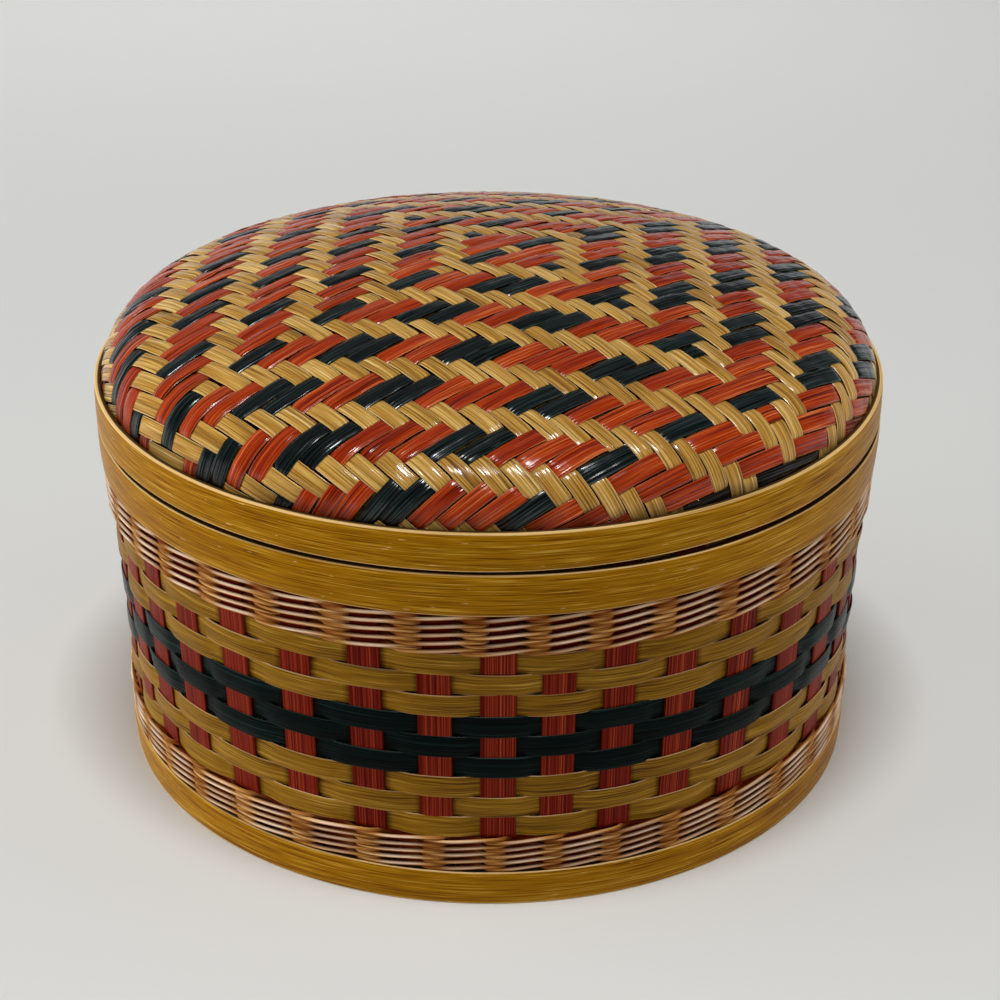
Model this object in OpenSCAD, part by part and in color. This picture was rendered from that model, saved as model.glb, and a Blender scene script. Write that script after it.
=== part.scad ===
// Round lidded basket of split bamboo: twined and plain-woven wall, bent hoops, domed twill lid.
// Millimetres, +Z up, origin on the floor at the centre of the foot hoop, front towards -Y.

/* [Body] */
// Outer diameter of the rim hoop and of the lid hoop
rim_d = 230; // [200:1:280]
// Outer diameter of the foot hoop where it stands on the floor
foot_d = 220; // [195:1:228]

/* [Hoops] */
// Thickness of the outer hoops
hoop_t = 2; // [1.5:0.1:3]
// Thickness of the inner hoops
inner_hoop_t = 2; // [1.5:0.1:3]
// Height of the foot hoop
foot_hoop_h = 10.6; // [8:0.1:16]
// Height of the rim hoop
rim_hoop_h = 12.8; // [9:0.1:16]
// Height of the lid hoop
lid_hoop_h = 10.8; // [9:0.1:16]
// Height of the inner foot hoop that carries the base mat
inner_foot_hoop_h = 4.4; // [3:0.1:6]
// How far the collar rises above the rim hoop into the lid
collar_rise = 5.5; // [3:0.1:7]
// Distance of the collar's lower edge above the rim hoop's lower edge
collar_inset = 0.6; // [0.4:0.1:4]

/* [Stakes] */
// Number of upright stakes, an even number so that each row closes on itself
stake_count = 38; // [30:2:42]
// Width of a stake
stake_w = 9.4; // [6:0.1:10]
// Thickness of a stake
stake_t = 0.8; // [0.5:0.1:1.2]
// Angle of the first stake from the front
first_stake = 0.6; // [-4:0.1:4]
// Hand-set unevenness of the spacing, in degrees
stake_drift = 1.5; // [0:0.1:1.5]

/* [Wide weavers] */
// Rows of wide weavers in each colour band: gold, green, gold
band_rows = 3; // [2:1:4]
// Height of one row of wide weaving
weaver_pitch = 6.5; // [5:0.1:8]
// Thickness of a wide weaver
weaver_t = 0.7; // [0.5:0.1:1]
// Open line between two rows of wide weaving
weaver_gap = 0.25; // [0.2:0.05:0.6]

/* [Twined bands] */
// Rows of paired strands above the wide weaving
upper_rows = 5; // [3:1:6]
// Height of one upper row
upper_pitch = 2.5; // [2.2:0.05:3]
// Rows of paired strands below the wide weaving
lower_rows = 5; // [3:1:6]
// Height of one lower row
lower_pitch = 2.2; // [2.2:0.05:3]
// Height of a split strand
strand_t = 0.95; // [0.7:0.05:0.95]
// Depth of a split strand, which brings the twined bands flush with the hoops
strand_d = 2; // [1:0.1:2.2]

/* [Base] */
// Thickness of the woven base mat
base_mat_t = 1.6; // [1:0.1:2.5]

/* [Lid] */
// Thickness of the woven lid
lid_mat_t = 1.3; // [0.8:0.1:1.6]
// Height above the lid's lower edge at which the shoulder starts to turn in
shoulder_z = 9; // [7:0.1:12]
// Radius of the shoulder
shoulder_r = 18.4; // [12:0.1:26]
// Radius of the crown
crown_r = 330; // [240:1:420]
// Height of the lid's inner hoop
lid_inner_hoop_h = 4.6; // [3:0.1:6]

/* [Fits] */
// Clearance between bamboo pieces that are bound together
fit = 0.2; // [0.15:0.05:0.4]
// Clearance between a weaver or strand and the stake that it crosses
weave_gap = 0.15; // [0.15:0.05:0.4]
// Clearance between the lid and the collar, all round
lid_clearance = 0.4; // [0.3:0.05:0.8]
// Open line between the closed lid and the rim hoop
lid_gap = 0.5; // [0.3:0.1:1.2]

/* [Hidden] */
$fn = 96;
// The drift of the stakes comes and goes this many times round the wall, from this angle on
drift_waves = 5;
drift_phase = 12;
front_angle = -90;
// How far a stake ends short of the floor and of the rim hoop's top
stake_foot_gap = 0.6;
// How far a float stays flat beyond each edge of its stake
float_margin = 0.6;
// How far a weaver has turned back between the edge of its float and the middle of the gap
turn_share = 0.45;
// Height of the inner foot hoop's lower edge
base_seat_z = 0.6;
// How far the hollow of the lid runs on below its lower edge
run_out = 1;
gold = [0.58, 0.39, 0.10];
honey = [0.50, 0.33, 0.04];
red = [0.50, 0.14, 0.07];
green = [0.06, 0.13, 0.12];
straw = [0.66, 0.49, 0.36];

weaver_rows = 3 * band_rows;
lower_z = foot_hoop_h;
weave_z = lower_z + lower_rows * lower_pitch;
upper_z = weave_z + weaver_rows * weaver_pitch;
rim_z = upper_z + upper_rows * upper_pitch;
body_h = rim_z + rim_hoop_h;
lean = atan((rim_d - foot_d) / 2 / body_h);
lid_z = body_h + lid_gap;
skirt_r = rim_d / 2 - hoop_t - fit;
collar_z = rim_z + collar_inset;

lower_names = [for (i = [1:2 * lower_rows]) str("lower_strand_", i)];
upper_names = [for (i = [1:2 * upper_rows]) str("upper_strand_", i)];
weaver_bands = ["lower_gold_weaver_", "green_weaver_", "upper_gold_weaver_"];
weaver_names = [for (band = weaver_bands) for (i = [1:band_rows]) str(band, i)];

// Radius of the outer face of the hoops at height z: foot and rim lie on one cone
function wall_r(z) = foot_d / 2 + z * tan(lean);

// Radius of the middle of a stake at height z
function stake_r(z) = wall_r(z) - hoop_t - fit - stake_t / 2;

// Radius of the inner face of the stakes over the heights from low to high
function stake_inner_r(low, high) = min(stake_r(low), stake_r(high)) - stake_t / 2;

// Direction of stake k, with the slow drift of hand spacing
function stake_angle(k) =
    let (even = 360 * k / stake_count)
    front_angle + first_stake + even + stake_drift * cos(drift_waves * (even + drift_phase));

// Half the angle that a flat float takes as it crosses a stake
function float_half_angle(r) = atan((stake_w / 2 + float_margin) / r);

function polar(r, a) = [r * cos(a), r * sin(a)];

// Corners of one wavy outline: in front of every second stake and behind the others
function weaver_outline(r, reach, shift, start) = [
    for (k = [0:stake_count - 1])
        let (
            side = (k + start) % 2 == 0 ? -1 : 1,
            here = stake_angle(k),
            half = float_half_angle(r),
            before = (stake_angle(k - 1) + here) / 2 + half,
            after = (stake_angle(k + 1) + here) / 2 - half,
            flat_r = (r + side * reach + shift) / cos(half),
            turn_r = r + side * reach * turn_share + shift
        )
        each [
            polar(turn_r, here - half - turn_share * (here - before)),
            polar(flat_r, here - half),
            polar(flat_r, here + half),
            polar(turn_r, here + half + turn_share * (after - here))
        ]
];

// One closed row of a wide weaver
module weaver(row) {
    z = weave_z + row * weaver_pitch + weaver_gap / 2;
    h = weaver_pitch - weaver_gap;
    r = stake_r(z + h / 2);
    lean_room = h / 2 * abs(tan(lean));
    reach = stake_t / 2 + weave_gap + lean_room + weaver_t / 2;
    color(floor(row / band_rows) == 1 ? green : gold)
        translate([0, 0, z])
            linear_extrude(h)
                difference() {
                    polygon(weaver_outline(r, reach, weaver_t / 2, row));
                    polygon(weaver_outline(r, reach, -weaver_t / 2, row));
                }
}

// Four corners of a strand where it meets or leaves stake k; the pair twists half a turn a stake
function strand_ring(z, rise, ply, k, edge) =
    let (
        side = (k + ply) % 2 == 0 ? 1 : -1,
        reach = stake_t / 2 + weave_gap + strand_d / 2,
        mid_z = z + side * edge * rise,
        r = stake_r(mid_z) + side * reach,
        half = float_half_angle(r),
        a = stake_angle(k) + edge * half,
        mid_r = r / cos(half),
        d = strand_d / 2,
        h = strand_t / 2
    )
    [
        for (c = [[-d, -h], [d, -h], [d, h], [-d, h]])
            let (xy = polar(mid_r + c[0], a)) [xy[0], xy[1], mid_z + c[1]]
    ];

// One strand of a twined pair, swept round the wall as a closed loop
module strand(base_z, pitch, number) {
    z = base_z + (floor(number / 2) + 0.5) * pitch;
    rings = [
        for (k = [0:stake_count - 1])
            for (edge = [-1, 1])
                strand_ring(z, pitch / 4, number % 2, k, edge)
    ];
    count = len(rings);
    points = [for (ring = rings) each ring];
    faces = [
        for (i = [0:count - 1])
            for (c = [0:3])
                [
                    4 * i + c,
                    4 * ((i + 1) % count) + c,
                    4 * ((i + 1) % count) + (c + 1) % 4,
                    4 * i + (c + 1) % 4
                ]
    ];
    color(straw) polyhedron(points, faces);
}

// A bent hoop whose faces lean with the wall
module leaning_hoop(z, h, t) {
    color(honey)
        rotate_extrude()
            polygon([
                [wall_r(z) - t, z],
                [wall_r(z), z],
                [wall_r(z + h), z + h],
                [wall_r(z + h) - t, z + h]
            ]);
}

// A bent hoop with upright faces
module upright_hoop(r, z, h, t) {
    color(honey)
        rotate_extrude()
            translate([r - t, z])
                square([t, h]);
}

module foot_hoop() {
    leaning_hoop(0, foot_hoop_h, hoop_t);
}

module inner_foot_hoop() {
    top = base_seat_z + inner_foot_hoop_h;
    r = stake_inner_r(base_seat_z, top) - fit;
    upright_hoop(r, base_seat_z, inner_foot_hoop_h, inner_hoop_t);
}

// Woven mat that rests on the inner foot hoop
module base_mat() {
    z = base_seat_z + inner_foot_hoop_h;
    color(gold)
        translate([0, 0, z])
            cylinder(r = stake_inner_r(z, z + base_mat_t) - fit, h = base_mat_t);
}

module stakes() {
    length = (body_h - 2 * stake_foot_gap) / cos(lean);
    color(red)
        for (k = [0:stake_count - 1])
            rotate(stake_angle(k))
                translate([stake_r(stake_foot_gap), 0, stake_foot_gap])
                    rotate([0, lean, 0])
                        translate([-stake_t / 2, -stake_w / 2, 0])
                            cube([stake_t, stake_w, length]);
}

module rim_hoop() {
    leaning_hoop(rim_z, rim_hoop_h, hoop_t);
}

// Inner hoop that stands above the rim and centres the lid
module collar_hoop() {
    top = body_h + collar_rise;
    lid_r = skirt_r - lid_mat_t - lid_clearance;
    wall_face_r = stake_inner_r(collar_z, body_h) - fit;
    upright_hoop(min(lid_r, wall_face_r), collar_z, top - collar_z, inner_hoop_t);
}

module lid_hoop() {
    upright_hoop(rim_d / 2, lid_z, lid_hoop_h, hoop_t);
}

// Inner hoop that holds the edge of the woven lid against the lid hoop, clear above the collar
module lid_inner_hoop() {
    upright_hoop(
        skirt_r - lid_mat_t - fit,
        body_h + collar_rise + lid_clearance,
        lid_inner_hoop_h,
        inner_hoop_t
    );
}

// Everything under the lid's surface, drawn in by inset: crown arc, shoulder arc and upright skirt
module dome_section(inset, drop) {
    shoulder_x = skirt_r - shoulder_r;
    crown_drop = sqrt(pow(crown_r - shoulder_r, 2) - pow(shoulder_x, 2));
    crown_z = shoulder_z - crown_drop;
    square_w = skirt_r - inset;
    translate([0, -drop]) square([square_w, shoulder_z + drop]);
    translate([shoulder_x, shoulder_z]) circle(shoulder_r - inset);
    intersection() {
        translate([0, crown_z]) circle(crown_r - inset);
        polygon([
            [0, 0],
            [shoulder_x * (1 - shoulder_z / crown_drop), 0],
            [shoulder_x * (1 + shoulder_r / crown_drop * 2), shoulder_z + 2 * shoulder_r],
            [0, shoulder_z + crown_r]
        ]);
    }
}

module lid_dome() {
    color(gold)
        translate([0, 0, lid_z])
            rotate_extrude()
                intersection() {
                    difference() {
                        dome_section(0, 0);
                        dome_section(lid_mat_t, run_out);
                    }
                    square([rim_d, crown_r]);
                }
}

foot_hoop();
inner_foot_hoop();
base_mat();
stakes();
for (i = [0:len(lower_names) - 1])
    strand(lower_z, lower_pitch, i);
for (i = [0:len(weaver_names) - 1])
    weaver(i);
for (i = [0:len(upper_names) - 1])
    strand(upper_z, upper_pitch, i);
rim_hoop();
collar_hoop();
lid_hoop();
lid_inner_hoop();
lid_dome();
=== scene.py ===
import math

import bpy
import numpy as np
from mathutils import Matrix

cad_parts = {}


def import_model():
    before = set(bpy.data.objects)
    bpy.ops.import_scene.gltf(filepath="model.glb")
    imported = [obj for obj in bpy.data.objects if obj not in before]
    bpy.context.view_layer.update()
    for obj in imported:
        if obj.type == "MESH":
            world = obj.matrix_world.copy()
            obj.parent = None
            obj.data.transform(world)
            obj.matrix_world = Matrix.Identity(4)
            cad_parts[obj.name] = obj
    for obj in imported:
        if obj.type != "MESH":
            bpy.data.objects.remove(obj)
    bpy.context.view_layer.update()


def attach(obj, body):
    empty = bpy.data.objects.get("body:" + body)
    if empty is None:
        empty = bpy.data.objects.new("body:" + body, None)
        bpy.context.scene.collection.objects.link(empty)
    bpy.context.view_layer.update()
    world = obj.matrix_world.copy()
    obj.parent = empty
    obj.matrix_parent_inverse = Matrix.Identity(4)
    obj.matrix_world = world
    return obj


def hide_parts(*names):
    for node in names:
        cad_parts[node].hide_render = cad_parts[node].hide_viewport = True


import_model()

# Sizes in millimetres and angles in degrees, as in the part's source
MM = 0.001
RIM_D, FOOT_D = 230.0, 220.0
HOOP_T, FIT = 2.0, 0.2
FOOT_H, RIM_H, LID_HOOP_H = 10.6, 12.8, 10.8
INNER_FOOT_H, LID_INNER_H = 4.4, 4.6
COLLAR_RISE, COLLAR_INSET, FOOT_GAP = 5.5, 0.6, 0.6
STAKES, STAKE_W, STAKE_T = 38, 9.4, 0.8
FRONT, FIRST_STAKE = -90, 0.6
DRIFT, DRIFT_WAVES, DRIFT_PHASE = 1.5, 5, 12
BAND_ROWS, WEAVER_PITCH = 3, 6.5
LOWER_ROWS, LOWER_PITCH = 5, 2.2
UPPER_ROWS, UPPER_PITCH = 5, 2.5
LID_MAT_T, LID_CLEARANCE, LID_GAP = 1.3, 0.4, 0.5
SHOULDER_Z, SHOULDER_R, CROWN_R = 9.0, 18.4, 330.0
WEAVE_Z = FOOT_H + LOWER_ROWS * LOWER_PITCH
UPPER_Z = WEAVE_Z + 3 * BAND_ROWS * WEAVER_PITCH
RIM_Z = UPPER_Z + UPPER_ROWS * UPPER_PITCH
BODY_H = RIM_Z + RIM_H
LID_Z = BODY_H + LID_GAP
COLLAR_Z = RIM_Z + COLLAR_INSET
SLOPE = (RIM_D - FOOT_D) / 2 / BODY_H
SKIRT_R = RIM_D / 2 - HOOP_T - FIT
SHOULDER_X = SKIRT_R - SHOULDER_R
CROWN_DROP = math.sqrt((CROWN_R - SHOULDER_R) ** 2 - SHOULDER_X ** 2)
CROWN_ARC = math.atan2(SHOULDER_X, CROWN_DROP)

rng = np.random.default_rng(38)


def strip_number():
    """A number that sets a strip's grain apart from that of the others."""
    return rng.uniform(0, 90)


def wobble(u, period, size, waves=(2, 3, 5, 7)):
    """A slow closed wave, different at each call."""
    total = np.zeros_like(u)
    for n in waves:
        height = rng.normal() / len(waves) ** 0.5
        total += height * np.sin(2 * np.pi * n * u / period + rng.uniform(0, 7))
    return size * total


def unit(v):
    return v / np.maximum(np.linalg.norm(v, axis=-1, keepdims=True), 1e-12)


def across_path(side, tangent):
    """The part of side that stands square on the path."""
    return unit(side - tangent * (side * tangent).sum(-1, keepdims=True))


def lengths(points):
    """The distance along a path at each of its points."""
    steps = np.linalg.norm(np.diff(points, axis=0), axis=1)
    return np.concatenate([[0], np.cumsum(steps)])


# Meshes

# Section of a flat strip: shares of its half width, of its thickness and of its crown
RIBBON = np.array([(-1.0, -0.05, 0.0), (-0.965, 0.36, 0.1), (-0.62, 0.5, 0.72), (0.0, 0.5, 1.0),
                   (0.62, 0.5, 0.72), (0.965, 0.36, 0.1), (1.0, -0.05, 0.0), (0.95, -0.45, 0.0),
                   (0.0, -0.5, 0.6), (-0.95, -0.45, 0.0)])
# Section of a cane: its number of sides, and how much painted highlight each of its points takes,
# from the front upwards
CORD_SIDES = 10
CORD_HIGHLIGHT = np.array([0.55, 1, 0.7, 0, 0, 0, 0, 0, 0, 0])
SMOOTH_TO, CORD_SMOOTH_TO = 50, 70


class Parts:
    """Collects strips and rings into one mesh. A point holds its place on the fibres (across, along,
    strip number), and from 0 to 1 how pale an edge it is (on canes a painted highlight) and how deep
    in painted shade it is."""

    def __init__(self):
        self.verts, self.faces, self.count = [], [], 0
        self.fibre, self.edge, self.shade = [], [], []

    def sweep(self, rings, across, along, edge, ident, shade=0.0, caps=True):
        """rings is n x m x 3: a loop of m points at each of n stations."""
        n, m = rings.shape[:2]
        index = self.count + np.arange(n * m).reshape(n, m)
        nxt = np.roll(index, -1, axis=1)
        quads = np.stack([index[:-1], nxt[:-1], nxt[1:], index[1:]], -1).reshape(-1, 4)
        self.faces.extend(quads.tolist())
        if caps:
            self.faces.append(index[0][::-1].tolist())
            self.faces.append(index[-1].tolist())
        self.verts.append(rings.reshape(-1, 3))
        place = np.empty((n, m, 3))
        place[..., 0] = across
        place[..., 1] = along[:, None]
        place[..., 2] = ident
        self.fibre.append(place.reshape(-1, 3))
        self.edge.append(np.broadcast_to(edge, (n, m)).reshape(-1))
        self.shade.append(np.broadcast_to(shade, (n, m)).reshape(-1))
        self.count += n * m

    def ribbon(self, points, side, normal, half, thick, crown, ident, shade=0.0):
        """A flat strip with a crowned face and rounded edges."""
        across = RIBBON[:, 0]
        lift = RIBBON[:, 1] * thick + RIBBON[:, 2] * crown
        half = np.broadcast_to(half, len(points))
        rings = (points[:, None] + side[:, None] * (half[:, None] * across)[..., None]
                 + normal[:, None] * lift[:, None])
        self.sweep(rings, across * half.mean(), lengths(points), np.abs(across), ident, shade)

    def cord(self, points, side, normal, half, deep, ident, shade, pale):
        """A split cane with a round section, half high and deep from its middle, with a painted
        highlight in front and painted shade below."""
        turn = np.arange(CORD_SIDES) * 2 * np.pi / CORD_SIDES
        high, out = np.sin(turn), np.cos(turn)
        rings = (points[:, None] + side[:, None] * (half[:, None] * high)[..., None]
                 + normal[:, None] * (deep * out)[:, None])
        # Painted shade on the cane's underside, and the painted highlight on its front
        shade = np.maximum(shade[:, None], 0.7 * np.clip(0.1 - 1.1 * high, 0, 1))
        highlight = pale[:, None] * CORD_HIGHLIGHT
        self.sweep(rings[:, ::-1], (half.mean() * high)[::-1], lengths(points), highlight[:, ::-1], ident,
                   shade[:, ::-1])

    def build(self, name, material, body, slot, node, smooth_to=SMOOTH_TO):
        """Makes the object that stands for a node of the part and moves with a body."""
        mesh = bpy.data.meshes.new(name)
        mesh.from_pydata((np.concatenate(self.verts) * MM).tolist(), [], self.faces)
        attr = mesh.attributes.new("fibre", "FLOAT_VECTOR", "POINT")
        attr.data.foreach_set("vector", np.concatenate(self.fibre).astype(np.float32).ravel())
        for key, values in (("rim", self.edge), ("shade", self.shade)):
            attr = mesh.attributes.new(key, "FLOAT", "POINT")
            attr.data.foreach_set("value", np.concatenate(values).astype(np.float32))
        mesh.polygons.foreach_set("use_smooth", np.ones(len(mesh.polygons), bool))
        mesh.set_sharp_from_angle(angle=math.radians(smooth_to))
        mesh.materials.append(material)
        mesh.update()
        obj = bpy.data.objects.new(name, mesh)
        bpy.context.scene.collection.objects.link(obj)
        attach(obj, body)
        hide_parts(node)


# Materials

# Noise on the fibres: cycles per mm across and along a strip, and how far it moves on per strip number
SLOW_ALONG, SLOW_STEP = 0.012, 3.17
TONE_ALONG, TONE_STEP = 0.004, 5.71
HAIR_STEP, LINE_STEP = 7.31, 2.93
NICK_NOISE = (1.5, 0.2, 6.13)
GLINT_NOISE = (2.2, 0.03, 1.37)
RIDGE_NOISE = (1.8, 0.02, 4.41)
# Noise values between which an effect sets in
LINE_AT, NICK_AT, WORN_AT = (0.58, 0.68), (0.74, 0.78), (0.35, 0.6)
ROUGH_AT, GLINT_AT = (0.3, 0.7), (0.4, 0.6)
WORN_LEAST, GLINT_SHARES, DULL_SHADE = 0.35, (0.15, 1.6), 0.8
NICK_COLOUR = (224, 186, 122)
BUMP_HEIGHT = 0.0002


def linear(srgb):
    c = np.array(srgb, float) / 255
    c = np.where(c <= 0.04045, c / 12.92, ((c + 0.055) / 1.055) ** 2.4)
    return (*c.tolist(), 1.0)


class Nodes:
    """A new material, with short ways to add nodes to it."""

    def __init__(self, name):
        self.mat = bpy.data.materials.new(name)
        self.mat.use_nodes = True
        self.tree = self.mat.node_tree
        self.shader = self.tree.nodes["Principled BSDF"]

    def add(self, kind, **values):
        node = self.tree.nodes.new("ShaderNode" + kind)
        for key, value in values.items():
            setattr(node, key, value)
        return node

    def feed(self, socket, value):
        """Links an input to an output, or sets it to a constant."""
        if isinstance(value, bpy.types.NodeSocket):
            self.tree.links.new(value, socket)
        else:
            socket.default_value = value

    def attribute(self, name, output):
        node = self.add("Attribute", attribute_name=name, attribute_type="GEOMETRY")
        return node.outputs[output]

    def noise(self, vector, scale, detail, rough=0.55):
        mapping = self.add("Mapping")
        self.feed(mapping.inputs["Vector"], vector)
        self.feed(mapping.inputs["Scale"], scale)
        node = self.add("TexNoise")
        self.feed(node.inputs["Vector"], mapping.outputs["Vector"])
        self.feed(node.inputs["Scale"], 1.0)
        self.feed(node.inputs["Detail"], detail)
        self.feed(node.inputs["Roughness"], rough)
        return node.outputs["Fac"]

    def spread(self, value, span, to_low=0.0, to_high=1.0):
        """Maps a value from span to the range between to_low and to_high, and keeps it there."""
        node = self.add("MapRange", clamp=True)
        self.feed(node.inputs["Value"], value)
        self.feed(node.inputs["From Min"], span[0])
        self.feed(node.inputs["From Max"], span[1])
        self.feed(node.inputs["To Min"], to_low)
        self.feed(node.inputs["To Max"], to_high)
        return node.outputs["Result"]

    def ramp(self, value, stops):
        node = self.add("ValToRGB")
        elements = node.color_ramp.elements
        while len(elements) < len(stops):
            elements.new(0.5)
        for element, (place, colour) in zip(elements, stops):
            element.position = place
            element.color = linear(colour)
        self.feed(node.inputs["Fac"], value)
        return node.outputs["Color"]

    def tint(self, share, base, colour):
        """Mixes a share of a fixed colour into base."""
        node = self.add("Mix", data_type="RGBA", blend_type="MIX")
        factor, first, second = node.inputs[0], node.inputs[6], node.inputs[7]
        self.feed(factor, share)
        self.feed(first, base)
        self.feed(second, linear(colour))
        return node.outputs[2]

    def math(self, op, a, b):
        node = self.add("Math", operation=op)
        self.feed(node.inputs[0], a)
        self.feed(node.inputs[1], b)
        return node.outputs[0]


def bamboo(name, stops, edge_colour=None, edge_share=0.85, edge_from=0.85, edge_fade=0.05, fine=2.2,
           stretch=0.045, streak=0.5, gains=(2.6, 0.9, 0.6), lines=0.7, line_fine=None,
           line_colour=(70, 36, 8), dark=(24, 8, 2), nicks=0.0, rough=(0.3, 0.45), gloss=0.05,
           bump=0.5, ridge=False):
    """Split bamboo: fine hairs, slow streaks and a tone for each strip on a ramp of stops, dark
    hairlines, paler cut edges (on the canes a painted highlight) and a few light nicks, and painted
    shade towards dark. fine, stretch, streak and line_fine are cycles per mm, gains how strongly
    hairs, streaks and tone count. ridge is for lacquered strips, whose broad ridges break up the
    glints."""
    n = Nodes(name)
    fibre, shade = n.attribute("fibre", "Vector"), n.attribute("shade", "Fac")
    hair = n.noise(fibre, (fine, stretch, HAIR_STEP), 2.0, 0.5)
    slow = n.noise(fibre, (streak, SLOW_ALONG, SLOW_STEP), 2.0)
    tone = n.noise(fibre, (0.0, TONE_ALONG, TONE_STEP), 1.0)
    thin = n.noise(fibre, (line_fine or fine * 1.5, stretch * 0.5, LINE_STEP), 2.0)
    value = n.math("ADD", n.math("MULTIPLY", hair, gains[0]), n.math("MULTIPLY", slow, gains[1]))
    value = n.math("ADD", value, n.math("MULTIPLY", tone, gains[2]))
    colour = n.ramp(n.math("ADD", value, 0.5 - sum(gains) / 2), stops)
    colour = n.tint(n.spread(thin, LINE_AT, 0.0, lines), colour, line_colour)
    if nicks:
        chip = n.noise(fibre, NICK_NOISE, 1.0)
        colour = n.tint(n.spread(chip, NICK_AT, 0.0, nicks), colour, NICK_COLOUR)
    if edge_colour:
        pale = n.spread(n.attribute("rim", "Fac"), (edge_from, edge_from + edge_fade))
        worn = n.math("MULTIPLY", pale, n.spread(slow, WORN_AT, WORN_LEAST))
        colour = n.tint(n.math("MULTIPLY", worn, edge_share), colour, edge_colour)
    # Painted shade: the shade attribute mixes the dark colour in, and takes the gloss away there
    n.feed(n.shader.inputs["Base Color"], n.tint(shade, colour, dark))

    shine = n.spread(shade, (0.0, DULL_SHADE), gloss, 0.0)
    if ridge:
        glint = n.spread(n.noise(fibre, GLINT_NOISE, 1.0), GLINT_AT, *GLINT_SHARES)
        shine = n.math("MULTIPLY", shine, glint)
    n.feed(n.shader.inputs["Specular IOR Level"], shine)
    n.feed(n.shader.inputs["Roughness"], n.spread(hair, ROUGH_AT, *rough))
    relief = n.add("Bump")
    n.feed(relief.inputs["Strength"], bump)
    n.feed(relief.inputs["Distance"], BUMP_HEIGHT)
    height = n.noise(fibre, RIDGE_NOISE, 0.0) if ridge else n.math("ADD", hair, thin)
    n.feed(relief.inputs["Height"], height)
    n.feed(n.shader.inputs["Normal"], relief.outputs["Normal"])
    return n.mat


lid_gold = bamboo(
    "lid_gold",
    [(0.0, (96, 56, 12)), (0.3, (158, 111, 40)), (0.65, (197, 153, 72)), (1.0, (234, 203, 138))],
    edge_colour=(238, 206, 150), edge_share=0.5, edge_from=0.9, fine=2.4, gains=(1.6, 0.8, 0.7),
    line_fine=1.7, rough=(0.14, 0.26), gloss=0.42, bump=1.0, ridge=True)
lid_red = bamboo(
    "lid_red",
    [(0.0, (80, 8, 0)), (0.35, (142, 36, 4)), (0.7, (172, 62, 13)), (1.0, (208, 112, 58))],
    edge_colour=(206, 128, 84), edge_share=0.35, edge_from=0.9, fine=2.4, gains=(1.8, 0.8, 0.7),
    lines=0.85, line_fine=1.7, line_colour=(48, 6, 0), rough=(0.14, 0.26), gloss=0.36, bump=1.0,
    ridge=True)
lid_green = bamboo(
    "lid_green",
    [(0.0, (0, 3, 3)), (0.45, (1, 12, 10)), (0.8, (6, 22, 20)), (1.0, (30, 48, 46))],
    edge_colour=(70, 80, 72), edge_share=0.3, edge_from=0.9, line_colour=(0, 3, 3),
    rough=(0.14, 0.3), gloss=0.55, bump=1.0, ridge=True)
wall_gold = bamboo(
    "wall_gold",
    [(0.0, (82, 47, 0)), (0.35, (128, 87, 2)), (0.7, (151, 108, 15)), (1.0, (184, 142, 58))],
    edge_colour=(220, 178, 138), edge_share=0.75, edge_from=0.92, fine=3.4, stretch=0.055,
    gains=(2.2, 0.9, 0.5), lines=0.6, dark=(40, 12, 2), gloss=0.08)
wall_green = bamboo(
    "wall_green",
    [(0.0, (0, 4, 4)), (0.5, (1, 14, 12)), (0.85, (4, 23, 20)), (1.0, (24, 44, 40))],
    edge_colour=(70, 84, 74), edge_share=0.4, edge_from=0.92, fine=2.6, stretch=0.03,
    line_colour=(0, 3, 3), rough=(0.16, 0.3), gloss=0.04)
stake_red = bamboo(
    "stake_red",
    [(0.0, (70, 4, 0)), (0.4, (99, 15, 4)), (0.65, (127, 32, 10)), (1.0, (168, 70, 34))],
    fine=3.0, stretch=0.006, streak=0.9, gains=(2.2, 0.5, 0.5), lines=0.5, line_colour=(52, 4, 0),
    dark=(88, 18, 8))
# Its edge colour is a painted highlight along each cane's front, and its dark colour painted shade
strand_straw = bamboo(
    "strand_straw",
    [(0.0, (118, 66, 17)), (0.35, (172, 113, 46)), (0.7, (202, 144, 72)), (1.0, (234, 188, 126))],
    edge_colour=(254, 228, 204), edge_from=0.2, edge_fade=0.7, fine=1.8, dark=(104, 24, 9),
    rough=(0.2, 0.35), gloss=0.1)
hoop_honey = bamboo(
    "hoop_honey",
    [(0.0, (110, 62, 0)), (0.35, (150, 98, 0)), (0.7, (171, 118, 4)), (1.0, (202, 157, 56))],
    edge_colour=(234, 196, 132), edge_share=0.9, fine=3.2, stretch=0.06, streak=0.9,
    gains=(2.3, 0.9, 0.3), lines=0.55, nicks=0.7, rough=(0.26, 0.4), bump=0.35)
plain_straw = bamboo(
    "plain_straw",
    [(0.0, (128, 92, 44)), (0.4, (168, 130, 72)), (0.7, (186, 150, 92)), (1.0, (206, 176, 124))],
    edge_colour=(214, 184, 134), lines=0.3, rough=(0.45, 0.6))


# The lid's twill mat

# Where strip crossing (a, b) lies on the flattened dome: a cubic in a and b, both over MAT_UNIT
MAT_X = {(0, 0): 6.355, (0, 1): 74.271, (0, 2): 2.238, (0, 3): 0.904, (1, 0): 77.971,
         (1, 1): -2.977, (1, 2): 7.361, (2, 0): -3.164, (2, 1): 2.963, (3, 0): 2.132}
MAT_Y = {(0, 0): 5.994, (0, 1): -87.015, (0, 2): 1.742, (0, 3): -3.549, (1, 0): 64.334,
         (1, 1): 13.108, (1, 2): -4.747, (2, 0): 5.382, (2, 1): 8.382, (3, 0): 9.245}
MAT_UNIT = 20
# Arc length from the top to the mat's edge, and where and how strongly strips are drawn in before it
MAT_EDGE = 132.8
DRAWN_FROM, DRAWN_IN = 105, 0.0055
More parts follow.
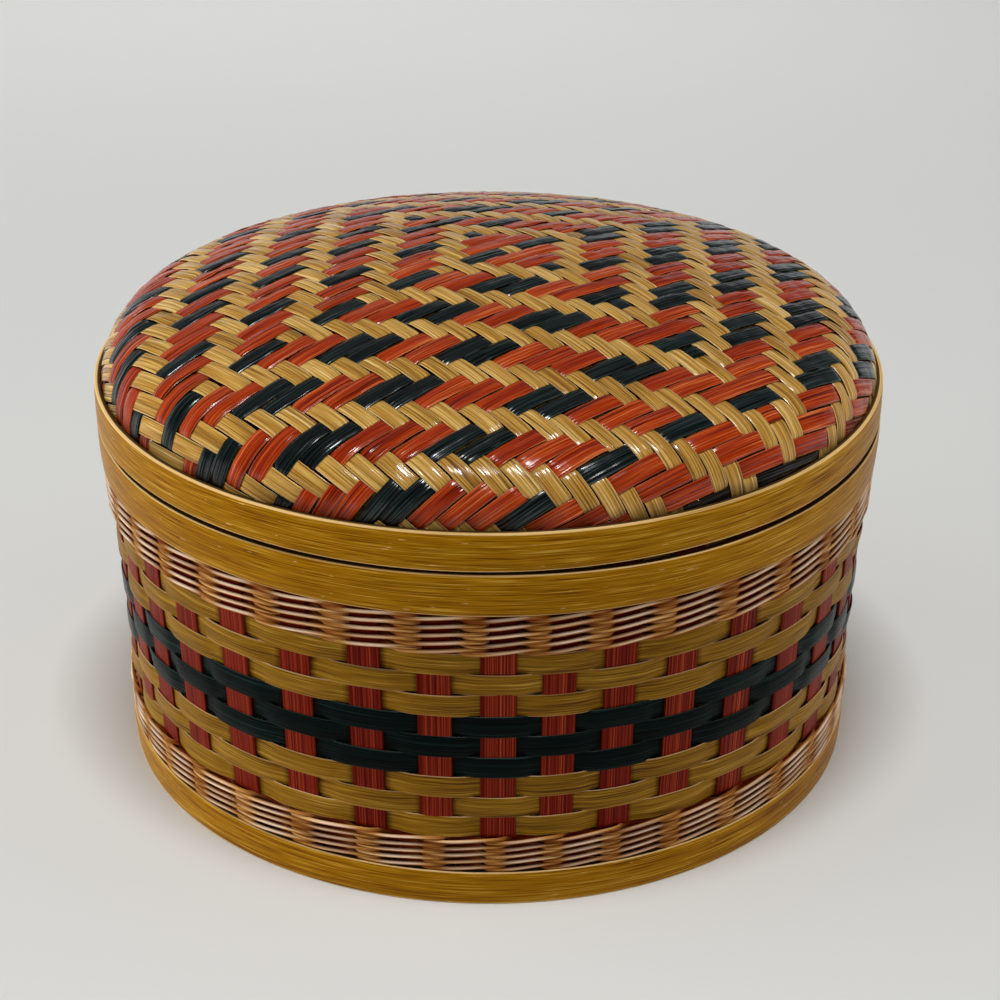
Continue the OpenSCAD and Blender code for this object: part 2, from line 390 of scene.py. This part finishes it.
# Dyed strips that are green left and right of the line where the twill turns, counted from the middle
GREEN_LEFT = {-15, -11, -8, -6, -3, 0, 3, 4, 7, 8, 12, 13, 17, 21, 22}
GREEN_RIGHT = {-15, -11, -8, -7, -4, 0, 1, 4, 5, 8, 9, 12, 13, 16, 17, 21, 22}
# The twill repeats over 5 strips, and gold lies on top at these two places of them
TWILL, TWILL_GOLD = 5, (4, 0)

MAT_STRIPS = 26
CELL_STEPS = np.array([0.0, 0.24, 0.38, 0.5, 0.62, 0.76])
CROSSING_SHARE, FLOAT_BULGE = 0.6, 0.3
MAT_SINK, MAT_WAVE = -0.5, 0.32
STRIP_FILL, STRIP_T, STRIP_CROWN = 0.94, 0.3, 0.14
STRIP_SWAY, STRIP_TILT, TILT_SIZE, TILT_MID = 0.03, 0.045, 64, 30
# Painted shade: on strips where they pass under others, and on the mat near the hoop's edge
UNDER_SHADE, EDGE_SHADE, EDGE_SHADE_FROM, EDGE_SHADE_OVER = 0.9, 0.6, 119.0, 6
SHORTEST_RUN, PITCH_STEP = 7, 0.05


def dome(rho):
    """Radius, height and outward normal of the dome at arc length rho from its top."""
    crown_end = CROWN_R * CROWN_ARC
    shoulder_end = crown_end + SHOULDER_R * (math.pi / 2 - CROWN_ARC)
    t1 = np.clip(rho, 0, crown_end) / CROWN_R
    t2 = CROWN_ARC + np.clip(rho - crown_end, 0, shoulder_end - crown_end) / SHOULDER_R
    on_crown = rho <= crown_end
    tilt = np.where(on_crown, t1, t2)
    r = np.where(on_crown, CROWN_R * np.sin(t1), SHOULDER_X + SHOULDER_R * np.sin(t2))
    z = SHOULDER_Z + np.where(on_crown, CROWN_R * np.cos(t1) - CROWN_DROP, SHOULDER_R * np.cos(t2))
    z = z - np.clip(rho - shoulder_end, 0, None) + LID_Z
    return r, z, np.sin(tilt), np.cos(tilt)


def mat_point(a, b, lift):
    """Point, outward normal and arc length from the top at crossing (a, b), lifted off the dome."""
    x, y = (sum(c * (a / MAT_UNIT) ** p * (b / MAT_UNIT) ** q for (p, q), c in terms.items())
            for terms in (MAT_X, MAT_Y))
    rho = np.hypot(x, y)
    c, s = x / np.maximum(rho, 1e-9), y / np.maximum(rho, 1e-9)
    rho = rho - DRAWN_IN * np.clip(rho - DRAWN_FROM, 0, None) ** 2
    r, z, nr, nz = dome(rho)
    point = np.stack([r * c, r * s, z], -1)
    normal = np.stack([nr * c, nr * s, nz], -1)
    return point + normal * lift[..., None], normal, rho


def gold_on_top(i, j):
    return np.isin((np.abs(i) + np.abs(j)) % TWILL, TWILL_GOLD)


def strip_level(k, cell, f, gold):
    """How high strip k lies, from -1 under the others to 1 and a bulge above them, at share f of each
    cell, and how far it is on its way to the next cell."""
    here, after = (gold_on_top(k, c) if gold else ~gold_on_top(c, k) for c in (cell, cell + 1))
    s = np.clip((f - 0.5) / CROSSING_SHARE + 0.5, 0, 1)
    s = s * s * (3 - 2 * s)
    level = np.where(here, 1.0, -1.0) * (1 - s) + np.where(after, 1.0, -1.0) * s
    return level + np.where(here & after, FLOAT_BULGE, 0.0) * np.sin(np.pi * f), s


def inside(rho):
    """The run of stations, round the one nearest to the top, within the mat's edge."""
    low = high = int(np.argmin(rho))
    while low > 0 and rho[low - 1] < MAT_EDGE:
        low -= 1
    while high < len(rho) - 1 and rho[high + 1] < MAT_EDGE:
        high += 1
    return slice(low, high + 1)


def dyed_runs(k, t):
    """The colours of dyed strip k with their stations: the dye may change where the twill turns."""
    left, right = ("green" if k in greens else "red" for greens in (GREEN_LEFT, GREEN_RIGHT))
    if left == right:
        return [(left, slice(None))]
    corner = next(i for i in range(TWILL + 1) if gold_on_top(i, k) and gold_on_top(i + 1, k))
    join = int(np.searchsorted(t, corner + 0.5))
    return [(left, slice(0, join + 2)), (right, slice(join - 1, None))]


def lid_strips():
    """Gold strips one way, dyed strips the other way, woven over and under one another."""
    groups = {"gold": Parts(), "red": Parts(), "green": Parts()}
    t = (np.arange(-MAT_STRIPS - 1, MAT_STRIPS + 1)[:, None] + CELL_STEPS).ravel()
    cell = np.floor(t).astype(int)
    tilts = rng.normal(0, STRIP_TILT, (2, TILT_SIZE, TILT_SIZE))
    for gold in (True, False):
        for k in range(-MAT_STRIPS, MAT_STRIPS + 1):
            level, s = strip_level(k, cell, t - cell, gold)
            line = k + wobble(t, 2 * MAT_STRIPS + 2, STRIP_SWAY)
            lines = [line, line - PITCH_STEP, line + PITCH_STEP]
            (p, normal, rho), (p1, _, _), (p2, _, _) = (
                mat_point(*((a, t) if gold else (t, a)), MAT_SINK + MAT_WAVE * level) for a in lines)
            if rho.min() > MAT_EDGE - 1:
                continue
            run = inside(rho)
            if run.stop - run.start < SHORTEST_RUN:
                continue
            p, level, s = p[run], level[run], s[run]
            tangent = unit(np.gradient(p, axis=0))
            side = across_path(unit((p2 - p1)[run]), tangent)
            up = np.cross(tangent, side)
            up = up * np.sign((up * normal[run]).sum(-1, keepdims=True))
            row = tilts[int(gold), k + TILT_MID]
            at = cell[run] + TILT_MID
            tilt = (row[at] * (1 - s) + row[at + 1] * s)[:, None]
            side, up = side * np.cos(tilt) + up * np.sin(tilt), up * np.cos(tilt) - side * np.sin(tilt)
            pitch = np.linalg.norm(p2 - p1, axis=1)[run] / (2 * PITCH_STEP)
            half = pitch * 0.5 * STRIP_FILL * rng.uniform(0.96, 1.02)
            # Painted shade under the crossings and along the mat's edge by the hoop
            near_edge = np.clip((rho[run] - EDGE_SHADE_FROM) / EDGE_SHADE_OVER, 0, EDGE_SHADE)
            shade = np.maximum(UNDER_SHADE * np.clip(-level, 0, 1), near_edge)[:, None]
            ident = strip_number()
            for colour, part in [("gold", slice(None))] if gold else dyed_runs(k, t[run]):
                if len(p[part]) > 2:
                    groups[colour].ribbon(p[part], side[part], up[part], half[part], STRIP_T,
                                          STRIP_CROWN, ident, shade[part])
    return groups


groups = lid_strips()
for colour, material in (("gold", lid_gold), ("red", lid_red), ("green", lid_green)):
    groups[colour].build(f"lid_{colour}_strips", material, "lid", "lid_mat", "lid_dome")


# The wall

# Stake coordinate once round, from the back
TURN = np.linspace(STAKES / 2, STAKES * 1.5, STAKES * 12 + 1)

WALL_MID = 0.3
WEAVER_HALF, WEAVER_T, WEAVER_CROWN = 3.33, 0.45, 0.16
WEAVER_WAVE, WEAVER_SQUARE, WEAVER_SWAY, WEAVER_TILT = 0.55, 2.2, 0.1, 0.05
STRAND_DEEP, STRAND_SWAY = 0.6, 0.05
STRAND_MID, STRAND_OUT, STRAND_IN = 1.35, 0.4, 3.2
# Painted shade: on the row under the rim hoop, on stakes behind the twined bands, and on stake edges
HOOP_SHADE, STAKE_BAND_SHADE, STAKE_EDGE_SHADE = 0.35, 0.96, 0.45
STAKE_CROWN, STAKE_SET_BACK, STAKE_SWAY = 0.06, 1.2, 0.04
# Points of a strip's section that lie at its edges or behind, where painted shade goes
STAKE_EDGES = np.array([1, 1, 0, 0, 0, 1, 1, 1, 0, 1.0])


def wall_r(z):
    """Outer radius of the hoops' cone at height z."""
    return FOOT_D / 2 + z * SLOPE


def stake_r(z):
    """Radius of the middle of the stakes at height z."""
    return wall_r(z) - HOOP_T - FIT - STAKE_T / 2


def stake_angle(u):
    """Angle of stake coordinate u; the stakes drift a little from even places."""
    even = 360.0 * u / STAKES
    drift = DRIFT * np.cos(np.radians(DRIFT_WAVES * (even + DRIFT_PHASE)))
    return np.radians(FRONT + FIRST_STAKE + even + drift)


def wall_frame(u, z, out):
    """Points at stake coordinate u and height z, out from the middle of the stakes, and the direction
    up the slope."""
    angle = stake_angle(u)
    r = stake_r(z) + out
    c, s = np.cos(angle), np.sin(angle)
    point = np.stack([r * c, r * s, z], -1)
    slope = np.stack([SLOPE * c, SLOPE * s, np.ones_like(c)], -1) / math.hypot(SLOPE, 1)
    return point, slope


def weaver(row, material, slot, node):
    """A wide strip that goes in front of every second stake."""
    c = -np.cos(np.pi * (TURN + row))
    z = WEAVE_Z + (row + 0.5) * WEAVER_PITCH + wobble(TURN, STAKES, WEAVER_SWAY)
    point, slope = wall_frame(TURN, z, WALL_MID + WEAVER_WAVE * np.tanh(WEAVER_SQUARE * c))
    tangent = unit(np.gradient(point, axis=0))
    up = np.cross(tangent, slope)
    tilt = WEAVER_TILT * np.interp(TURN, np.arange(2 * STAKES), rng.normal(0, 1, 2 * STAKES))[:, None]
    side = slope * np.cos(tilt) + up * np.sin(tilt)
    up = np.cross(tangent, side)
    # Painted shade on the float's ends, where the weaver dives behind a stake
    shade = 0.6 * np.clip((-c - 0.5) / 0.2, 0, 1)[:, None]
    parts = Parts()
    parts.ribbon(point, side, up, WEAVER_HALF * rng.uniform(0.985, 1.01), WEAVER_T, WEAVER_CROWN,
                 strip_number(), shade)
    parts.build(f"woven_{node}", material, "basket", slot, node)


bands = (("lower_gold_weaver", wall_gold, "gold_bamboo"), ("green_weaver", wall_green, "green_bamboo"),
         ("upper_gold_weaver", wall_gold, "gold_bamboo"))
for b, (band, material, slot) in enumerate(bands):
    for i in range(BAND_ROWS):
        weaver(b * BAND_ROWS + i, material, slot, f"{band}_{i + 1}")


def strand(base_z, pitch, number, half, ahead, node, dim_row=None):
    """One strand of a twined pair, in front of a stake every second time. ahead moves the pattern on by
    a share of a stake, and dim_row is the row in the shade of a hoop."""
    row, ply = divmod(number, 2)
    phase = np.pi * (TURN - ahead + ply)
    c, s = np.cos(phase), np.sin(phase)
    z = base_z + (row + 0.5) * pitch + wobble(TURN, STAKES, STRAND_SWAY) + pitch / 4 * s
    front = c + 0.35
    out = STRAND_MID + np.where(front > 0, STRAND_OUT, STRAND_IN) * np.tanh(1.5 * front)
    # Painted shade: darker where the strand passes behind a stake, and a painted hoop shadow on dim_row
    shade = np.clip(0.2 - 0.8 * c + (HOOP_SHADE if row == dim_row else 0.0), 0, 0.95)
    half = half * np.where(c > 0, 1.2 - 0.2 * c, 1.2 - c)
    point, slope = wall_frame(TURN, z, out)
    tangent = unit(np.gradient(point, axis=0))
    side = across_path(slope, tangent)
    parts = Parts()
    # The pale value is a painted highlight, strongest where the strand lies in front of a stake
    parts.cord(point, side, np.cross(tangent, side), half, STRAND_DEEP, strip_number(), shade,
               np.clip(1.3 * c - 0.2, 0, 1))
    parts.build(f"twined_{node}", strand_straw, "basket", "strand_bamboo", node, CORD_SMOOTH_TO)


for i in range(2 * LOWER_ROWS):
    strand(FOOT_H, LOWER_PITCH, i, 0.48, 0.45, f"lower_strand_{i + 1}")
for i in range(2 * UPPER_ROWS):
    strand(UPPER_Z, UPPER_PITCH, i, 0.56, 0.13, f"upper_strand_{i + 1}", UPPER_ROWS - 1)


def stakes():
    """The upright strips, with painted shade behind the twined bands and at their edges, and set back
    behind the lower band.
    """
    parts = Parts()
    z = np.linspace(FOOT_GAP, BODY_H - FOOT_GAP, 105)
    bare = np.clip((z - WEAVE_Z + 0.6) / 1.2, 0, 1) * np.clip((UPPER_Z + 0.6 - z) / 1.2, 0, 1)
    behind = np.clip((WEAVE_Z + 0.5 - z) / 2.5, 0, 1) * np.clip((z - FOOT_H + 1.5) / 2.5, 0, 1)
    # Painted shade where the bands cover the stakes, and at the stakes' edges and backs
    shade = np.maximum(STAKE_BAND_SHADE * (1 - bare)[:, None], STAKE_EDGE_SHADE * STAKE_EDGES)
    for k in range(STAKES):
        u = np.full_like(z, k)
        out = WALL_MID + STAKE_SWAY * np.sin(z / 9 + k) - STAKE_SET_BACK * behind
        point, slope = wall_frame(u, z, out)
        angle = stake_angle(u)
        side = np.stack([-np.sin(angle), np.cos(angle), np.zeros_like(angle)], -1)
        parts.ribbon(point, side, np.cross(side, slope), STAKE_W / 2 * rng.uniform(0.96, 1.02), STAKE_T,
                     STAKE_CROWN, strip_number(), shade)
    parts.build("dyed_stakes", stake_red, "basket", "red_bamboo", "stakes")


stakes()


# Hoops

HOOP_CROWN, HOOP_SOFT, HOOP_SAG = 0.2, 0.3, 0.08
# Widths of the pale edge on a hoop's upper and lower face, and the shade on its back
NARROW_LIP, LID_LIP, PLAIN_LIP = 0.3, 0.8, 1.8
DARK_BACK, PLAIN_BACK = (0.9, 0.95, 0.95, 0.9), (0.0, 0.0, 0.0, 0.0)
# Height of the dark line under the closed lid, by the angle from the front: the hoops meet at the left
# and stand off at the right
SEAT_ANGLES = [-270, -110, -68, -61, -52, -30, -20, -8, 3, 10, 20, 30, 42, 62, 75, 82, 90]
SEAT_GAPS = [1.0, 0.2, 0.15, 1.2, 1.5, 1.4, 1.2, 0.95, 0.95, 1.2, 1.6, 1.85, 1.6, 1.8, 2.0, 1.6, 1.0]


def band_profile(radius, base, h, lip):
    """Loop of (radius, height) of a band's section, from the lip below round the outer face and the
    back, and its pale marks. radius is a function of height."""
    soft, round_in = HOOP_SOFT, HOOP_SOFT * 0.3
    heights = [0, 0, round_in, soft, h * 0.2, h * 0.4, h * 0.6, h * 0.8, h - soft, h - round_in, h, h]
    outs = [-lip, -soft, -round_in, 0, 0, 0, 0, 0, 0, -round_in, -soft, -lip]
    edge = [1, 1, 1, 0.9, 0, 0, 0, 0, 0.9, 1, 1, 1]
    loop = [(radius(base + dz) + out - HOOP_CROWN * (2 * dz / h - 1) ** 2, base + dz)
            for dz, out in zip(heights, outs)]
    top = base + h
    back = [(loop[-1][0] - 0.15, top), (radius(top) - HOOP_T, top), (radius(base) - HOOP_T, base),
            (loop[0][0] - 0.15, base)]
    return np.array(loop + back), np.array(edge + [1, 1, 1, 1])


def hoop(node, body, material, radius, base, h, lip, back, low=None, high=None):
    """A bent band; low(angle) moves its lower edge and high(angle) its upper one."""
    profile, edge = band_profile(radius, base, h, lip)
    angle = np.linspace(math.pi / 2, math.pi * 2.5, 361)
    r = profile[:, 0] + wobble(angle, 2 * math.pi, HOOP_SAG, (2, 3, 4))[:, None]
    z = np.broadcast_to(profile[:, 1], r.shape).copy()
    down = (base + h - profile[:, 1]) / h
    if low is not None:
        z += low(angle)[:, None] * down
    if high is not None:
        z += high(angle)[:, None] * (1 - down)
    rings = np.stack([r * np.cos(angle)[:, None], r * np.sin(angle)[:, None], z], -1)
    # Painted shade on the band's back and the inner part of its upper and lower faces
    dark = np.array([0.0] * (len(edge) - len(back)) + list(back))
    parts = Parts()
    parts.sweep(rings[:, ::-1], lengths(profile)[::-1], angle * profile[:, 0].mean(), edge[::-1],
                strip_number(), dark[::-1], caps=False)
    parts.build(f"bent_{node}", material, body, "hoop_bamboo", node)


def straight(r):
    return lambda z: r


def seat_gap(angle):
    return np.interp(np.degrees(angle) % 360 - 270, SEAT_ANGLES, SEAT_GAPS)


def lid_low(angle):
    return seat_gap(angle) / 2 - LID_GAP


def rim_high(angle):
    return -seat_gap(angle) / 2


lid_inner_r = SKIRT_R - LID_MAT_T - FIT
collar_r = min(SKIRT_R - LID_MAT_T - LID_CLEARANCE, stake_r(COLLAR_Z) - STAKE_T / 2 - FIT)
inner_foot_r = stake_r(FOOT_GAP) - STAKE_T / 2 - FIT
hoop("foot_hoop", "basket", hoop_honey, wall_r, 0.0, FOOT_H, NARROW_LIP, DARK_BACK)
hoop("rim_hoop", "basket", hoop_honey, wall_r, RIM_Z, RIM_H, NARROW_LIP, DARK_BACK, high=rim_high)
hoop("lid_hoop", "lid", hoop_honey, straight(RIM_D / 2), LID_Z, LID_HOOP_H, LID_LIP, DARK_BACK,
     low=lid_low)
hoop("collar_hoop", "basket", plain_straw, straight(collar_r), COLLAR_Z, BODY_H + COLLAR_RISE - COLLAR_Z,
     PLAIN_LIP, PLAIN_BACK)
hoop("lid_inner_hoop", "lid", plain_straw, straight(lid_inner_r), BODY_H + COLLAR_RISE + LID_CLEARANCE,
     LID_INNER_H, PLAIN_LIP, PLAIN_BACK)
hoop("inner_foot_hoop", "basket", plain_straw, straight(inner_foot_r), FOOT_GAP, INNER_FOOT_H, PLAIN_LIP,
     PLAIN_BACK)


# The base mat

BASE_PITCH, BASE_REACH, BASE_Z = 7.4, 106.4, 5.8
BASE_FILL, BASE_STRIP_T, BASE_CROWN, BASE_WAVE, BASE_SWAY = 0.48, 0.5, 0.12, 0.34, 0.12


def base_mat():
    """Plain strips in a two-by-two twill, cut off at a circle."""
    parts = Parts()
    count = int(BASE_REACH / BASE_PITCH)
    for turned in (False, True):
        for k in range(-count, count + 1):
            off = k * BASE_PITCH
            end = math.sqrt(max(BASE_REACH ** 2 - (abs(off) + BASE_PITCH / 2) ** 2, 0))
            if end < BASE_PITCH:
                continue
            t = np.linspace(-end, end, max(9, int(2 * end / BASE_PITCH * 5)))
            cell = np.floor(t / BASE_PITCH).astype(int)
            s = (1 - np.cos(np.pi * (t / BASE_PITCH - cell))) / 2
            here, after = (np.where((c + k) % 4 < 2, 1.0, -1.0) for c in (cell, cell + 1))
            wave = here * (1 - s) + after * s
            z = BASE_Z + BASE_WAVE * (wave if turned else -wave)
            across = off + wobble(t, 220, BASE_SWAY)
            point = np.stack([across, t, z] if turned else [t, across, z], -1)
            side = np.tile([-1.0, 0.0, 0.0] if turned else [0.0, 1.0, 0.0], (len(t), 1))
            up = np.cross(unit(np.gradient(point, axis=0)), side)
            parts.ribbon(point, side, up, BASE_PITCH * BASE_FILL, BASE_STRIP_T, BASE_CROWN,
                         strip_number())
    parts.build("woven_base_mat", plain_straw, "basket", "plain_bamboo", "base_mat")


base_mat()


# Floor, light and camera, in metres

FLOOR_R, FLOOR_SIDES = 1.15, 96
FLOOR_COLOUR, FLOOR_ROUGH = (225, 225, 221), 0.55
HORIZON_COLOUR, OVERHEAD_COLOUR = (216, 217, 218), (100, 101, 104)
HORIZON_TO, OVERHEAD_FROM = 0.05, 0.26
SENSOR, LENS = 36.0, 85.104
CAMERA_PLACE = (0.0, -0.6410, 0.3890)
CAMERA_DOWN, CAMERA_YAW, CAMERA_ROLL = np.radians([26.525, -0.3, 0.221])


def floor():
    n = Nodes("pale_floor")
    n.feed(n.shader.inputs["Base Color"], linear(FLOOR_COLOUR))
    n.feed(n.shader.inputs["Roughness"], FLOOR_ROUGH)
    turn = np.arange(FLOOR_SIDES) * 2 * np.pi / FLOOR_SIDES
    rim = np.stack([FLOOR_R * np.cos(turn), FLOOR_R * np.sin(turn), np.zeros(FLOOR_SIDES)], -1)
    mesh = bpy.data.meshes.new("floor")
    mesh.from_pydata(rim.tolist(), [], [list(range(FLOOR_SIDES))])
    mesh.materials.append(n.mat)
    obj = bpy.data.objects.new("floor", mesh)
    bpy.context.scene.collection.objects.link(obj)


def world():
    """A room that is pale at the horizon and dim overhead."""
    room = bpy.data.worlds.new("studio")
    bpy.context.scene.world = room
    room.use_nodes = True
    tree = room.node_tree
    tree.nodes.clear()
    out, glow, place, split, ramp = (
        tree.nodes.new("ShaderNode" + kind)
        for kind in ("OutputWorld", "Background", "TexCoord", "SeparateXYZ", "ValToRGB"))
    low, high = ramp.color_ramp.elements
    low.position, low.color = HORIZON_TO, linear(HORIZON_COLOUR)
    high.position, high.color = OVERHEAD_FROM, linear(OVERHEAD_COLOUR)
    tree.links.new(place.outputs["Generated"], split.inputs["Vector"])
    tree.links.new(split.outputs["Z"], ramp.inputs["Fac"])
    tree.links.new(ramp.outputs["Color"], glow.inputs["Color"])
    tree.links.new(glow.outputs["Background"], out.inputs["Surface"])


def set_down(obj, right, up, back, place):
    """Turns an object so that it looks against back, and links it."""
    rows = [[right[i], up[i], back[i], place[i]] for i in range(3)]
    obj.matrix_world = Matrix(rows + [[0, 0, 0, 1]])
    bpy.context.scene.collection.objects.link(obj)


def lamp(name, place, target, size, power, colour=(1, 1, 1), spread=180, shine=False):
    """A soft lamp; only one that may shine shows in glossy surfaces."""
    data = bpy.data.lights.new(name, "AREA")
    data.shape = "RECTANGLE"
    data.size, data.size_y = size
    data.energy = power
    data.color = colour
    data.spread = math.radians(spread)
    obj = bpy.data.objects.new(name, data)
    obj.visible_glossy = shine
    back = unit(np.array(place) - np.array(target))
    right = unit(np.cross((0.0, 1.0, 0.0) if abs(back[2]) > 0.95 else (0.0, 0.0, 1.0), back))
    set_down(obj, right, np.cross(back, right), back, place)


def camera():
    data = bpy.data.cameras.new("camera")
    data.sensor_width, data.lens = SENSOR, LENS
    data.clip_start, data.clip_end = 0.01, 50
    obj = bpy.data.objects.new("camera", data)
    down, yaw, roll = CAMERA_DOWN, CAMERA_YAW, CAMERA_ROLL
    back = np.array([math.sin(yaw) * math.cos(down), -math.cos(yaw) * math.cos(down), math.sin(down)])
    level = np.array([math.cos(yaw), math.sin(yaw), 0.0])
    rise = np.cross(back, level)
    right = level * math.cos(roll) + rise * math.sin(roll)
    set_down(obj, right, np.cross(back, right), back, CAMERA_PLACE)
    bpy.context.scene.camera = obj


floor()
world()
lamp("ceiling", (0.0, -0.3, 2.0), (0.0, 0.0, 0.1), (0.6, 0.3), 26, shine=True)
lamp("far_floor", (-0.15, 1.0, 1.2), (-0.15, 1.0, 0.0), (1.2, 0.5), 1.1, spread=60)
lamp("window", (-1.9, 0.0, 0.3), (0.0, 0.0, 0.08), (1.8, 0.55), 29.5, (0.97, 0.99, 1.0))
lamp("fill", (1.9, 0.0, 0.45), (0.0, 0.0, 0.08), (1.2, 0.8), 9, (1.0, 0.98, 0.95))
camera()
bpy.context.scene.view_settings.view_transform = "Standard"
